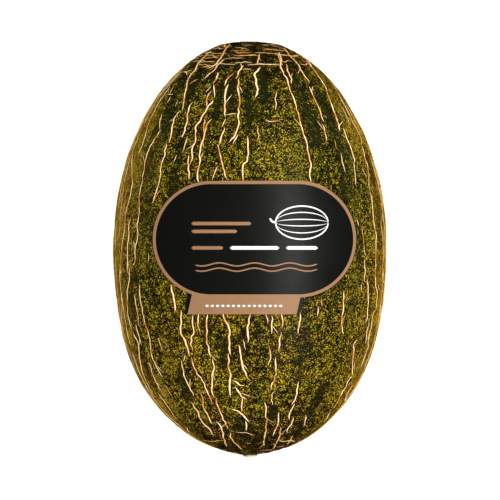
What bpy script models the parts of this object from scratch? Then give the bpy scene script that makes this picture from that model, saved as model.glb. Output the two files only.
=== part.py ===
"""A piel de sapo melon lying on its side, with a printed paper label stuck on its upper face.

Metres, +Z up. The melon's long axis runs along Y, with the stem end at +Y. The origin is the
middle of the small flat spot that the melon rests on, under the middle of its length.
"""

import math

import bmesh
import bpy
from mathutils import Vector

# --- Melon: overall sizes ---
LENGTH = 0.240
DIAMETER = 0.158
SPOT_WIDTH = 0.020  # width of the flat spot, across the melon

# --- Melon: shape of its outline, as a share of a plain ellipse's radius ---
CROWN_SWELL = 0.10  # how much the stem end is blunter than an ellipse
CROWN_SPREAD = math.radians(16)
BLOSSOM_FULLNESS = 0.045  # how much the half towards the blossom end is fuller
BLOSSOM_TAPER = 0.50  # how much the last of the blossom end draws in to its tip
BLOSSOM_SPREAD = math.radians(12)
STEM_DIMPLE_RADIUS = 0.007
STEM_DIMPLE_DEPTH = 0.0012

# --- Label: a rounded bar with a leaning tab below it, seen from straight above ---
LABEL_WIDTH = 0.1174
LABEL_HEIGHT = 0.067
LABEL_SHIFT = (0.0026, 0.0056)  # middle of the bar from the middle of the melon
TAB_WIDTH = 0.066
TAB_DROP = 0.0096  # how far the tab reaches below the bar
TAB_SHIFT = -0.0050  # middle of the tab from the middle of the bar
TAB_LEAN = 0.0022  # how much further left the tab's lower edge lies than its upper one
FILM = 0.0003  # thickness of the label
GLUE_GAP = 0.0003  # between the label and the rind

# --- Mesh detail ---
SEGMENTS = 72
RINGS = 40
ARC_STEPS = 24

RADIUS = DIAMETER / 2
AXIS_HEIGHT = math.sqrt(RADIUS**2 - (SPOT_WIDTH / 2) ** 2)


def clear_scene():
    for old in list(bpy.data.objects):
        bpy.data.objects.remove(old)


def material(name, colour, roughness):
    made = bpy.data.materials.new(name)
    made.use_nodes = True
    shader = made.node_tree.nodes["Principled BSDF"]
    shader.inputs["Base Color"].default_value = (*colour, 1.0)
    shader.inputs["Roughness"].default_value = roughness
    shader.inputs["Metallic"].default_value = 0.0
    made.diffuse_color = (*colour, 1.0)
    return made


def bell(angle, spread):
    return math.exp(-((angle / spread) ** 2))


def outline_point(angle):
    """(radius, place along the axis) at this angle from the stem pole, before the length is set."""
    from_blossom = math.pi - angle
    share = 1.0 + CROWN_SWELL * bell(angle, CROWN_SPREAD)
    share -= BLOSSOM_TAPER * bell(from_blossom, BLOSSOM_SPREAD)
    if angle > math.pi / 2:
        share += BLOSSOM_FULLNESS * math.sin(2 * from_blossom) ** 2
    radius = RADIUS * math.sin(angle) * share
    dimple = STEM_DIMPLE_DEPTH * bell(radius, STEM_DIMPLE_RADIUS) if angle < math.pi / 2 else 0.0
    return radius, LENGTH / 2 * math.cos(angle) - dimple


def outline(offset=0.0):
    """The melon's half outline from the stem pole to the blossom pole, moved outwards by offset."""
    raw = [outline_point(math.pi * step / RINGS) for step in range(RINGS + 1)]
    top = max(along for _, along in raw)
    bottom = min(along for _, along in raw)
    fit = LENGTH / (top - bottom)
    points = [Vector((radius, (along - bottom) * fit - LENGTH / 2)) for radius, along in raw]
    moved = []
    for i, point in enumerate(points):
        run = points[min(i + 1, RINGS)] - points[max(i - 1, 0)]
        outwards = Vector((-run.y, run.x)).normalized()
        moved.append(point + offset * outwards)
    for pole in (moved[0], moved[-1]):
        pole.x = 0.0
    return moved


def turned_solid(name, offset=0.0):
    """The outline turned about the melon's axis, as a closed mesh about that axis."""
    mesh = bmesh.new()
    points = [mesh.verts.new((radius, along, 0.0)) for radius, along in outline(offset)]
    edges = [mesh.edges.new(pair) for pair in zip(points, points[1:])]
    bmesh.ops.spin(
        mesh,
        geom=points + edges,
        cent=(0, 0, 0),
        axis=(0, 1, 0),
        angle=2 * math.pi,
        steps=SEGMENTS,
        use_merge=True,
    )
    bmesh.ops.remove_doubles(mesh, verts=mesh.verts, dist=1e-6)
    bmesh.ops.recalc_face_normals(mesh, faces=mesh.faces)
    data = bpy.data.meshes.new(name)
    mesh.to_mesh(data)
    mesh.free()
    data.shade_smooth()
    made = bpy.data.objects.new(name, data)
    made.location.z = AXIS_HEIGHT
    bpy.context.scene.collection.objects.link(made)
    return made


def cut_flat_spot(melon):
    """Takes off the sliver below the ground plane and closes the cut with one flat face."""
    mesh = bmesh.new()
    mesh.from_mesh(melon.data)
    cut = bmesh.ops.bisect_plane(
        mesh,
        geom=mesh.verts[:] + mesh.edges[:] + mesh.faces[:],
        plane_co=(0, 0, -AXIS_HEIGHT),
        plane_no=(0, 0, 1),
        clear_inner=True,
    )
    rim = [piece for piece in cut["geom_cut"] if isinstance(piece, bmesh.types.BMEdge)]
    spot = bmesh.ops.edgeloop_fill(mesh, edges=rim)["faces"]
    for face in spot:
        face.smooth = False
    bmesh.ops.recalc_face_normals(mesh, faces=mesh.faces)
    mesh.to_mesh(melon.data)
    mesh.free()
    melon.data.set_sharp_from_angle(angle=math.radians(30))


def prism(name, corners):
    """An upright cutter of this outline, from the melon's axis to well above the melon."""
    mesh = bmesh.new()
    base = mesh.faces.new([mesh.verts.new((x, y, 0.0)) for x, y in corners])
    sides = bmesh.ops.extrude_face_region(mesh, geom=[base])["geom"]
    lifted = [piece for piece in sides if isinstance(piece, bmesh.types.BMVert)]
    bmesh.ops.translate(mesh, verts=lifted, vec=(0, 0, DIAMETER))
    bmesh.ops.recalc_face_normals(mesh, faces=mesh.faces)
    data = bpy.data.meshes.new(name)
    mesh.to_mesh(data)
    mesh.free()
    made = bpy.data.objects.new(name, data)
    made.location = (*LABEL_SHIFT, AXIS_HEIGHT)
    made.hide_render = True
    made.display_type = "WIRE"
    bpy.context.scene.collection.objects.link(made)
    return made


def bar_corners():
    """The rounded bar: two half circles joined by straight edges, about its own middle."""
    end_radius = LABEL_HEIGHT / 2
    end_centre = LABEL_WIDTH / 2 - end_radius
    corners = []
    for side in (1, -1):
        for step in range(ARC_STEPS + 1):
            angle = math.pi * (step / ARC_STEPS - 0.5)
            x = side * (end_centre + end_radius * math.cos(angle))
            corners.append((x, side * end_radius * math.sin(angle)))
    return corners


def tab_corners():
    """The leaning tab: it starts inside the bar, so that the two join."""
    lower = -LABEL_HEIGHT / 2 - TAB_DROP
    upper = -LABEL_HEIGHT / 4
    lower_middle = TAB_SHIFT - TAB_LEAN
    upper_middle = lower_middle + TAB_LEAN * (upper - lower) / TAB_DROP
    half = TAB_WIDTH / 2
    return [
        (lower_middle - half, lower),
        (lower_middle + half, lower),
        (upper_middle + half, upper),
        (upper_middle - half, upper),
    ]


def boolean(target, operation, other):
    modifier = target.modifiers.new(operation.lower(), "BOOLEAN")
    modifier.operation = operation
    modifier.object = other
    modifier.solver = "EXACT"


def as_cutter(obj):
    obj.hide_render = True
    obj.display_type = "WIRE"
    return obj


def build_melon():
    melon = turned_solid("melon")
    cut_flat_spot(melon)
    melon.data.materials.append(material("rind", (0.13, 0.12, 0.012), 0.45))


def build_label():
    """A thin shell parallel to the rind, cut to the label's outline."""
    label = turned_solid("label", GLUE_GAP + FILM)
    underside = as_cutter(turned_solid("label_underside_cutter", GLUE_GAP))
    shape = prism("label_outline_cutter", bar_corners())
    boolean(shape, "UNION", prism("tab_outline_cutter", tab_corners()))
    boolean(label, "DIFFERENCE", underside)
    boolean(label, "INTERSECT", shape)
    label.data.materials.append(material("label_film", (0.012, 0.012, 0.010), 0.35))


def main():
    clear_scene()
    build_melon()
    build_label()


main()
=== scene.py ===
"""The looks of a piel de sapo melon with a printed label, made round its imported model.

Metres, +Z up, the melon's long axis along Y with the stem end at +Y and the label facing up.
Places on the rind are given as an angle round that axis, in degrees (0 faces straight up and
90 faces +X), and a distance along it, in millimetres from the middle of the melon.
"""

import functools
import math
import random

import bpy
import numpy as np
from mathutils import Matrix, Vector, noise
from mathutils.kdtree import KDTree


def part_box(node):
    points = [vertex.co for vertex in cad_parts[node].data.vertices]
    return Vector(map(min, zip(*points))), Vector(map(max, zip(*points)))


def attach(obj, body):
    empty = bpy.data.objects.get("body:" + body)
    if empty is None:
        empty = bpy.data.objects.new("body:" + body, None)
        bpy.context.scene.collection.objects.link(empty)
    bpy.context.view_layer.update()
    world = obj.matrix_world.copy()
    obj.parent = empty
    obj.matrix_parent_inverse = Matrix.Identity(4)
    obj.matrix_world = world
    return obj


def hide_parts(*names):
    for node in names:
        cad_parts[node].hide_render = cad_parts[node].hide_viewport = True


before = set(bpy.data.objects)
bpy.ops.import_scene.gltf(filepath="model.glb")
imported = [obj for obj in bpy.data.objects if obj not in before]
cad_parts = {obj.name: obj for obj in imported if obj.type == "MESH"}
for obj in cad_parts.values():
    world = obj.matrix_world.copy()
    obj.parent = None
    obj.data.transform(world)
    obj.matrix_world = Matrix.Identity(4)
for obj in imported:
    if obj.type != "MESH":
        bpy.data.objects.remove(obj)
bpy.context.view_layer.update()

bl_info = {
    "name": "Piel de Sapo Melon",
    "version": (1, 0, 0),
    "blender": (4, 5, 0),
    "location": "3D View > Sidebar > Melon",
    "description": "Builds a melon with a corky rind and a printed label",
    "category": "Object",
}

MM = 0.001

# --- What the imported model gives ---
MELON_LOW, MELON_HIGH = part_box("melon")
LABEL_LOW, LABEL_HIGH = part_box("label")
RADIUS = (MELON_HIGH.x - MELON_LOW.x) / 2
AXIS_HEIGHT = MELON_HIGH.z - RADIUS
AXIS = np.array((0.0, 0.0, AXIS_HEIGHT))

# --- The label's outline, seen from above ---
TAB_DROP = 9.6 * MM  # how far the tab reaches below the bar
TAB_WIDTH = 66 * MM
TAB_SHIFT = -5 * MM  # the tab's middle from the bar's middle, at the tab's upper edge
TAB_LEAN = 2.2 * MM  # how much further left the tab's lower edge lies than its upper one
BAR_WIDTH = LABEL_HIGH.x - LABEL_LOW.x
BAR_HEIGHT = LABEL_HIGH.y - LABEL_LOW.y - TAB_DROP
BAR_CENTRE = ((LABEL_LOW.x + LABEL_HIGH.x) / 2, LABEL_HIGH.y - BAR_HEIGHT / 2)
LABEL_LIFT = 0.3 * MM
LABEL_THICKNESS = 0.35 * MM

# --- How the cork cracks are drawn ---
CRACK_STEP = 1.1 * MM  # between the points of a stroke
CRACK_FLATNESS = 0.42  # height of the cork as a share of its half width
CRACK_BANK = 0.2 * MM  # how much the skin swells beside a crack
BANK_REACH = 2.2 * MM
CRACK_TAPER = 3.2 * MM  # how long a stroke's pointed ends are
CRACK_WANDER = 0.24 * MM  # how far a crack strays sideways
WANDER_STEP = 2.4 * MM
STROKE_SHIFT = 0.25 * MM  # how far a crack's strokes step apart sideways
BARB_SHARE = 0.45  # the share of strokes that have a barb
UNDER_LABEL = 2 * MM  # how far cracks run on under the label
CORK_HEIGHT_LIMIT = 0.9 * MM
GROUND_GAP = 0.15 * MM  # between the lowest skin and the ground

# Widths of the cracks, in millimetres.
THICK = 1.16
MIDDLE = 0.95
THIN = 0.70

# The rind's gentle lumps: how many to a metre, and how high they stand.
LUMPS = ((32, 0.45 * MM), (95, 0.16 * MM))

# Each crack is its width and the (angle, along) places that it runs through.
UPPER_LEFT_CRACKS = (
    (THICK, (-62, 115), (-57, 112), (-54, 107), (-50, 104), (-51, 100), (-49, 96), (-46, 93), (-44, 88),
     (-41, 80)),
    (MIDDLE, (-42, 80), (-45, 76), (-44, 71), (-43, 66), (-43, 61)),
    (MIDDLE, (-45, 61), (-44, 55), (-45, 48), (-44, 40), (-45, 32), (-47, 26)),
    (THIN, (-40, 98), (-43, 97), (-45, 95)),
    (THIN, (-48, 86), (-48, 82)),
    (MIDDLE, (-70, 103), (-70, 96), (-74, 92), (-78, 87)),
    (MIDDLE, (-67, 94), (-68, 86), (-68, 78), (-67, 72), (-65, 66), (-64, 60), (-66, 54)),
    (MIDDLE, (-74, 56), (-70, 50), (-67, 43), (-65, 38), (-65, 32), (-66, 27), (-68, 20), (-67, 10),
     (-70, 3), (-70, -7)),
    (THIN, (-62, 94), (-60, 89)),
    (THIN, (-62, 89), (-56, 89)),
    (THIN, (-57, 88), (-57, 84)),
    (THIN, (-57, 78), (-55, 72), (-53, 69)),
    (MIDDLE, (-52, 69), (-55, 62), (-57, 57), (-57, 50), (-56, 40), (-57, 32), (-56, 25), (-55, 19)),
    (MIDDLE, (-55, 20), (-56, 15), (-55, 11), (-55, 6), (-57, 1), (-57, -7), (-59, -10)),
    (MIDDLE, (-36, 85), (-37, 80), (-35, 74), (-35, 69), (-36, 64)),
    (THIN, (-33, 65), (-33, 61), (-34, 55)),
    (THIN, (-36, 54), (-38, 50)),
    (THICK, (-30, 54), (-29, 47), (-28, 40)),
    (MIDDLE, (-66, 102), (-60, 102), (-54, 103)),
    (THIN, (-60, 108), (-48, 108), (-35, 108)),
    (THIN, (-45, 105), (-38, 105), (-33, 106)),
)

UPPER_MIDDLE_CRACKS = (
    (THICK, (-42, 118), (-38, 116), (-34, 114), (-31, 111), (-31, 107), (-34, 105), (-38, 104)),
    (THICK, (-25, 110), (-29, 106), (-29, 103), (-32, 101), (-35, 98)),
    (THIN, (-31, 105), (-35, 103)),
    (MIDDLE, (-26, 102), (-24, 99), (-26, 95)),
    (THIN, (-27, 94), (-29, 90)),
    (MIDDLE, (-25, 95), (-23, 91), (-22, 87)),
    (THICK, (-25, 91), (-27, 87), (-25, 82)),
    (THICK, (-22, 86), (-24, 82), (-26, 77), (-27, 74), (-29, 70), (-28, 66)),
    (MIDDLE, (-28, 67), (-27, 62), (-29, 58), (-27, 52), (-28, 48)),
    (MIDDLE, (-25, 75), (-24, 67)),
    (THICK, (-21, 75), (-23, 70), (-23, 64), (-24, 60), (-24, 55), (-23, 50), (-24, 44), (-23, 38)),
    (THICK, (-12, 101), (-16, 99), (-17, 94)),
    (THICK, (-15, 95), (-16, 90), (-15, 84), (-14, 79), (-14, 76)),
    (THIN, (-14, 77), (-10, 78), (-7, 78)),
    (THIN, (-13, 75), (-15, 70)),
    (MIDDLE, (-13, 70), (-14, 66), (-15, 60)),
    (MIDDLE, (-16, 60), (-14, 56), (-13, 50), (-12, 45), (-10, 39)),
    (THIN, (-15, 48), (-17, 40)),
    (THICK, (-6, 106), (-8, 103), (-10, 98)),
    (THICK, (-8, 99), (-8, 93), (-6, 85), (-7, 78), (-6, 72), (-7, 67), (-10, 61)),
    (THIN, (-6, 66), (-8, 60)),
    (MIDDLE, (-1, 65), (-1, 58), (-1, 52), (-3, 48), (-3, 38)),
    (THIN, (-6, 103.5), (1, 103.5)),
    (THIN, (-3, 106), (11, 106.5), (26, 106)),
    (MIDDLE, (-14, 107.5), (2, 107.5)),
    (THIN, (-25, 110), (-6, 110)),
    (THIN, (-14, 111.5), (10, 111.5)),
)

UPPER_RIGHT_CRACKS = (
    (MIDDLE, (11, 113), (9, 110), (6, 106)),
    (THICK, (9, 105), (5, 102), (4, 100), (5, 96), (5, 90), (3, 87)),
    (THIN, (4, 71), (4.5, 66), (4, 62)),
    (THIN, (17, 91), (15, 87), (15.5, 84), (14, 80)),
    (THIN, (8, 74), (12, 73.5), (16, 74)),
    (THICK, (38, 114), (33, 110.5), (27, 106), (26, 102), (27, 97), (26, 91), (27.5, 85), (26.5, 80)),
    (THICK, (26.5, 81), (27.5, 78), (27, 73), (28, 66), (28.5, 62), (28, 56), (29, 48), (27.5, 44),
     (28, 38)),
    (THICK, (34, 107), (31, 102), (31.5, 98), (29, 95)),
    (MIDDLE, (40, 114), (33, 112), (30, 108), (30, 106)),
    (MIDDLE, (60, 116.5), (55, 114.5), (49, 112), (49, 107), (46, 104), (45, 100), (46, 96)),
    (MIDDLE, (43, 94), (42, 88), (43, 82), (42, 76), (43, 73)),
    (MIDDLE, (41, 72), (41, 66), (40, 62)),
    (THICK, (80, 113), (77, 110.5), (70, 107.5), (66, 106), (64, 104), (61, 99), (60, 94), (56, 88),
     (55, 84), (54, 79), (54, 74), (52, 68)),
    (MIDDLE, (56, 70), (56, 62), (57, 55), (56, 49), (55, 45), (54, 37)),
    (MIDDLE, (86, 109), (84, 104), (81, 100), (77, 97), (74, 91), (71, 87), (71, 80), (70, 74),
     (72, 68), (73, 64), (70, 60)),
    (MIDDLE, (70, 60), (69, 54), (69, 48), (68, 43), (66, 39), (65, 34), (66, 27), (65, 20), (66, 11)),
    (THIN, (76, 84), (77, 78), (76, 72), (78, 66)),
    (THIN, (66, 82), (65, 76), (66, 71)),
    (THIN, (48, 56), (47.5, 50), (48.5, 44)),
    (THIN, (62, 47), (63, 43), (65, 41)),
    (THIN, (46, 63), (46, 57)),
    (THIN, (61, 87), (61, 84)),
    (THIN, (38, 37), (38, 33)),
    (THIN, (5, 113), (26, 113)),
)

LEFT_SIDE_CRACKS = (
    (MIDDLE, (-62, 18), (-63.5, 14), (-62.5, 8), (-63.5, 3), (-63.5, -3), (-64, -14)),
    (MIDDLE, (-62, -11), (-62, -16), (-63.5, -21), (-65.5, -26), (-66.5, -32), (-67.5, -38), (-66.5, -48)),
    (MIDDLE, (-66, -48), (-63.5, -52), (-63, -56), (-65, -60), (-67, -65), (-69.5, -70), (-70, -76),
     (-73, -86)),
    (THIN, (-71.5, 34), (-69.5, 26), (-71, 20), (-71, 15)),
    (THIN, (-70, -12), (-73.5, -15), (-74, -20)),
    (MIDDLE, (-72, -25), (-73.5, -34), (-77.5, -39), (-80, -43)),
    (MIDDLE, (-59, -26), (-59, -30), (-58, -37), (-59, -45)),
    (MIDDLE, (-61.5, -43), (-61, -49), (-60, -56)),
    (MIDDLE, (-59, -65), (-58, -68), (-59, -75), (-59, -81), (-58, -86)),
    (MIDDLE, (-63, -83), (-61.5, -89), (-62.5, -95), (-65, -99)),
    (MIDDLE, (-62, -103), (-66, -105), (-70, -107)),
    (MIDDLE, (-54.5, -20), (-55, -27), (-54, -37), (-54, -44), (-52.5, -47), (-52, -54), (-54, -61),
     (-51, -74)),
    (THIN, (-52, -78), (-50.5, -85)),
    (THIN, (-48, -2), (-47.5, -5), (-48, -8)),
    (MIDDLE, (-45.5, -51), (-45, -59)),
    (THIN, (-58, 5), (-57.5, 0)),
)

RIGHT_SIDE_CRACKS = (
    (MIDDLE, (66, 11), (67.5, 9), (67, 3), (67, -4), (67, -16), (68.5, -22), (70.5, -25), (71, -33),
     (72, -36)),
    (THIN, (55, 13), (55.5, 8), (56, 2), (57, -2), (58, -4)),
    (MIDDLE, (56.5, -6), (57, -13), (57, -19)),
    (MIDDLE, (59, -17), (60.5, -22), (61, -28), (62, -36), (62.5, -39), (62, -43)),
    (THIN, (52, 17), (53, 13)),
    (THIN, (55, -20), (55, -25)),
    (THIN, (52.5, -35), (54, -40)),
    (MIDDLE, (44, -24), (44.5, -30), (44.5, -39), (45, -45), (47, -49)),
    (MIDDLE, (75, 17), (74.5, 12), (76, 7), (77, -2), (76.5, -10), (77.5, -18), (82, -20)),
    (MIDDLE, (76.5, -32), (79.5, -37), (84, -40)),
    (THIN, (70.5, -24), (72.5, -19.5)),
    (MIDDLE, (69.5, -35), (67.5, -40), (70, -45), (68.5, -50), (70.5, -55), (72, -57), (70.5, -63),
     (71, -69)),
    (MIDDLE, (66, -42), (65, -47), (66.5, -51), (67, -55)),
    (MIDDLE, (58, -52), (56, -55), (57.5, -59), (59, -64), (60.5, -68), (64, -73)),
    (MIDDLE, (64, -73), (62, -76), (63.5, -80), (61.5, -83), (64.5, -88), (65.5, -92)),
    (MIDDLE, (64, -94), (67.5, -97), (69.5, -100)),
    (THIN, (61, -64.5), (62.5, -69)),
    (MIDDLE, (73, -77), (70, -81), (72, -85), (75, -87), (82, -89)),
)

LOWER_MIDDLE_CRACKS = (
    (THICK, (-35.5, -20), (-35, -26), (-34.5, -31), (-34.5, -37)),
    (THICK, (-31, -35), (-32, -43), (-32.5, -49), (-31, -52), (-30, -56), (-30, -62)),
    (MIDDLE, (-29, -62), (-29, -66), (-28, -71), (-25.5, -75), (-24.5, -79), (-23.5, -85), (-22.5, -89)),
    (THIN, (-25, -88.5), (-22, -89)),
    (MIDDLE, (-25.5, -38), (-26, -49), (-27.5, -52), (-28, -59)),
    (MIDDLE, (-22.5, -36), (-23.5, -42), (-23, -49)),
    (THICK, (-19, -36), (-20, -49), (-19.5, -57), (-19.5, -63)),
    (THICK, (-18, -63), (-17.5, -68), (-19, -72), (-20, -76), (-21.5, -82), (-20, -86)),
    (MIDDLE, (-20, -85), (-20, -90), (-19.5, -95), (-18.5, -100), (-18, -104)),
    (THICK, (-12, -36), (-11.5, -41), (-10, -43), (-9, -48), (-9.5, -55), (-9, -61)),
    (THICK, (-10, -60), (-10.5, -67), (-10, -71), (-10, -75), (-11, -78), (-11.5, -85)),
    (MIDDLE, (-10, -75), (-7.5, -76.5), (-5.5, -78), (-3, -79)),
    (THICK, (-8, -79), (-6, -82), (-4.5, -85), (-1.5, -86)),
    (MIDDLE, (-4.5, -85), (-5, -90), (-5.5, -94)),
    (THICK, (-12, -92), (-8, -93), (-5.5, -95), (-3.5, -97.5), (-1, -100)),
    (MIDDLE, (-3, -99), (-2.5, -102), (-3, -105)),
    (THICK, (-5, -55), (-4.5, -61), (-3.5, -67), (-2.5, -71), (-1, -75), (0.5, -75.5)),
    (THICK, (0.3, -36), (-0.8, -43), (-1.3, -49), (-0.8, -54)),
    (THIN, (-3.3, -52), (-1.8, -58)),
    (THIN, (-32, -61), (-34, -65)),
    (MIDDLE, (-35, -64), (-35, -70), (-36, -73), (-34.5, -79), (-34, -85)),
    (MIDDLE, (-37.5, -88), (-36, -93), (-37.5, -99), (-36, -102), (-34.5, -104), (-35.5, -108)),
    (MIDDLE, (-29, -82), (-28, -86), (-30, -92), (-28.5, -97), (-29.5, -101)),
    (THICK, (-25, -99), (-23, -103), (-24.5, -106), (-27.5, -109.5), (-30, -112), (-34, -114)),
    (MIDDLE, (-17.5, -106), (-19.5, -109), (-18, -112), (-15, -116)),
    (THIN, (-12.5, -106), (-5, -106), (0, -107), (5, -108)),
    (THIN, (-5, -112), (1, -112.5)),
)

LOWER_RIGHT_CRACKS = (
    (MIDDLE, (7, -36), (8, -43)),
    (MIDDLE, (9.5, -38), (9.4, -49)),
    (MIDDLE, (13.8, -36), (14.3, -46)),
    (MIDDLE, (13.3, -47), (13.5, -52), (13.5, -59)),
    (MIDDLE, (22.3, -36), (22.5, -41), (22, -45), (21.8, -49)),
    (THIN, (31.8, -28), (32.3, -33)),
    (MIDDLE, (31, -33), (30.8, -39)),
    (THIN, (8, -55), (9.3, -60), (9.8, -64), (8.5, -67)),
    (MIDDLE, (11.8, -62), (12.5, -67), (13, -72), (12, -77), (11.3, -81)),
    (THIN, (14, -81.5), (12.5, -83), (12.5, -87), (13.5, -90)),
    (MIDDLE, (9, -88), (10, -90), (10.3, -94), (11.8, -98), (12.8, -103), (15, -108), (16, -112),
     (20, -114)),
    (MIDDLE, (26, -76), (26.8, -82), (26.8, -87), (26, -90)),
    (MIDDLE, (28, -89), (26.8, -94), (28, -97), (29, -98.5)),
    (MIDDLE, (31, -97), (33, -100), (32, -103), (34.5, -106.5)),
    (MIDDLE, (19, -94), (20, -97), (22, -101), (20.8, -105), (21.8, -108)),
    (MIDDLE, (24.5, -103), (27, -106), (30, -109), (32, -112), (35, -113.5), (40, -115), (46, -116)),
    (MIDDLE, (41, -96), (44, -100), (47, -103)),
    (MIDDLE, (45, -108), (47, -110), (51.5, -112), (57.5, -113.5)),
)

# Darker stripes and mossier patches: middle angle, from and to along the melon, half width in degrees.
DARK_STRIPES = (
    (33, 58, 108, 4.5),
    (49, 38, 92, 3.5),
    (-11.5, 78, 98, 3),
    (9, 84, 104, 3.5),
    (46, 28, 42, 3),
    (73, -2, 32, 3.5),
    (79, 86, 104, 5),
    (86, 62, 84, 3.5),
    (-41, 86, 100, 4),
    (-19.5, 74, 98, 2.5),
    (-49, 62, 84, 3.5),
    (-12, -68, -50, 3.5),
    (-38, -88, -70, 3.5),
    (-63, -74, -64, 2.5),
    (14.5, -100, -90, 3),
    (51, -42, -30, 3),
    (-1, 70, 90, 2.5),
    (-6, -112, -98, 5),
)
MOSSY_PATCHES = (
    (-66, 38, 82, 8),
    (-44, -72, -50, 4),
    (-58, -100, -70, 6),
    (22, 30, 60, 5),
    (62, 60, 95, 5),
    (-51, -12, 72, 7),
    (51, -48, 70, 5),
)

# Where short cracks run round the melon, in millimetres along it, and the share of each ring that they fill.
STEM_RINGS = (104, 106.5, 108.6, 110.4, 112, 113.4, 114.8, 116.1, 117.3, 118.3)
BLOSSOM_RINGS = (-118, -116.5, -114.5, -111)
RING_SHARE = 0.66

# The long cracks that fill the sides and the underside: lengths in millimetres, and the share they fill.
LANE_LENGTHS = (12, 20, 30, 42, 60)
LANE_SHARE = 0.72

UPPER_CRACKS = UPPER_LEFT_CRACKS + UPPER_MIDDLE_CRACKS + UPPER_RIGHT_CRACKS
LOWER_CRACKS = LEFT_SIDE_CRACKS + RIGHT_SIDE_CRACKS + LOWER_MIDDLE_CRACKS + LOWER_RIGHT_CRACKS


# --- The melon's smooth shape ---

def smooth_path(points, count):
    """Evenly spaced points on a smooth line through the given points."""
    points = np.asarray(points, float)
    step = np.linalg.norm(np.diff(points, axis=0), axis=1)
    along = np.concatenate(([0.0], np.cumsum(step)))
    slope = np.gradient(points, along, axis=0)
    place = np.linspace(0, along[-1], count)
    i = np.clip(np.searchsorted(along, place, side="right") - 1, 0, len(step) - 1)
    t = ((place - along[i]) / step[i])[:, None]
    reach = step[i][:, None]
    start = (2 * t**3 - 3 * t**2 + 1) * points[i] + (t**3 - 2 * t**2 + t) * reach * slope[i]
    end = (3 * t**2 - 2 * t**3) * points[i + 1] + (t**3 - t**2) * reach * slope[i + 1]
    return start + end


def melon_outline():
    """Points (along the axis, out from it) of the melon's outline, from stem end to blossom end."""
    found = []
    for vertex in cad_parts["melon"].data.vertices:
        height = vertex.co.z - AXIS_HEIGHT
        if height > -0.01 * MM:
            found.append((vertex.co.y, math.hypot(vertex.co.x, height)))
    found.sort(key=lambda point: math.atan2(point[1], point[0]))
    rings = [found[0]]
    for point in found:
        if math.dist(point, rings[-1]) > 0.5 * MM:
            rings.append(point)
    rings[0] = (rings[0][0], 0.0)
    rings[-1] = (rings[-1][0], 0.0)
    before = (rings[1][0], -rings[1][1])
    after = (rings[-2][0], -rings[-2][1])
    path = smooth_path([before] + rings + [after], 4000)
    return path[path[:, 1] >= 0]


OUTLINE = melon_outline()
OUTLINE_SLOPE = np.gradient(OUTLINE, axis=0)
OUTLINE_SLOPE /= np.linalg.norm(OUTLINE_SLOPE, axis=1)[:, None]
OUTLINE_POLAR = np.arctan2(OUTLINE[:, 1], OUTLINE[:, 0])
OUTLINE_SHARE = np.linspace(0, 1, len(OUTLINE))


def over_rind(places):
    """For places near the rind: the smooth melon's place there, the way out of it and the height over it."""
    local = places - AXIS
    out = np.hypot(local[:, 0], local[:, 2])
    turn = np.stack((local[:, 0], local[:, 2]), axis=1) / np.maximum(out, 1e-9)[:, None]
    polar = np.arctan2(out, local[:, 1])
    ring_y, ring_out = (np.interp(polar, OUTLINE_POLAR, OUTLINE[:, i]) for i in range(2))
    slope_y, slope_out = (np.interp(polar, OUTLINE_POLAR, OUTLINE_SLOPE[:, i]) for i in range(2))
    base = np.stack((turn[:, 0] * ring_out, ring_y, turn[:, 1] * ring_out), axis=1) + AXIS
    normal = np.stack((-slope_y * turn[:, 0], slope_out, -slope_y * turn[:, 1]), axis=1)
    height = ((places - base) * normal).sum(axis=1)
    return base, normal, height


def rind_place(angle, along):
    """The place on the smooth melon at an angle in degrees and a distance along it in millimetres."""
    y = along * MM
    out = np.interp(-y, -OUTLINE[:, 0], OUTLINE[:, 1])
    turn = math.radians(angle)
    return np.array((out * math.sin(turn), y, AXIS_HEIGHT + out * math.cos(turn)))


def rind_height(places):
    """Height of the smooth melon's upper side straight under or over each place."""
    out = np.interp(-places[:, 1], -OUTLINE[:, 0], OUTLINE[:, 1])
    return AXIS_HEIGHT + np.sqrt(np.maximum(out**2 - places[:, 0] ** 2, 0))


def bar_distance(x, y):
    """How far a place seen from above is outside the label's bar (negative inside)."""
    half = BAR_HEIGHT / 2
    across = np.maximum(np.abs(x - BAR_CENTRE[0]) - (BAR_WIDTH / 2 - half), 0)
    return np.hypot(across, y - BAR_CENTRE[1]) - half


def label_distance(places):
    """How far places on the rind are outside the label, seen from above; places underneath are far."""
    x, y = places[:, 0], places[:, 1]
    bar = bar_distance(x, y)
    tab_middle = BAR_CENTRE[0] + TAB_SHIFT - TAB_LEAN / 2
    beside = np.abs(x - tab_middle) - TAB_WIDTH / 2
    below = LABEL_LOW.y - y
    tab = np.maximum(np.maximum(beside, below), y - BAR_CENTRE[1])
    return np.where(places[:, 2] > AXIS_HEIGHT, np.minimum(bar, tab), 1.0)


def band_weight(base, bands):
    """How strongly each place lies in one of the bands, from 0 to 1."""
    angle = np.degrees(np.arctan2(base[:, 0], base[:, 2] - AXIS_HEIGHT))
    along = base[:, 1] / MM
    weight = np.zeros(len(base))
    for middle, low, high, half in bands:
        across = np.exp(-(((angle - middle) / half) ** 2))
        ends = smooth_step(along, low - 5, low + 5) * (1 - smooth_step(along, high - 5, high + 5))
        weight = np.maximum(weight, across * ends)
    return weight


def smooth_step(value, low, high):
    """0 below low and 1 above high, with a soft slope between."""
    share = np.clip((value - low) / (high - low), 0, 1)
    return share * share * (3 - 2 * share)


def relief(base):
    """Height of the rind's gentle lumps over the smooth melon; nothing under the label."""
    lift = np.zeros(len(base))
    for often, high in LUMPS:
        lift += high * np.array([noise.noise(Vector(p) * often) for p in base])
    return lift * smooth_step(label_distance(base), 1 * MM, 10 * MM)


# --- The cork cracks ---

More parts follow.
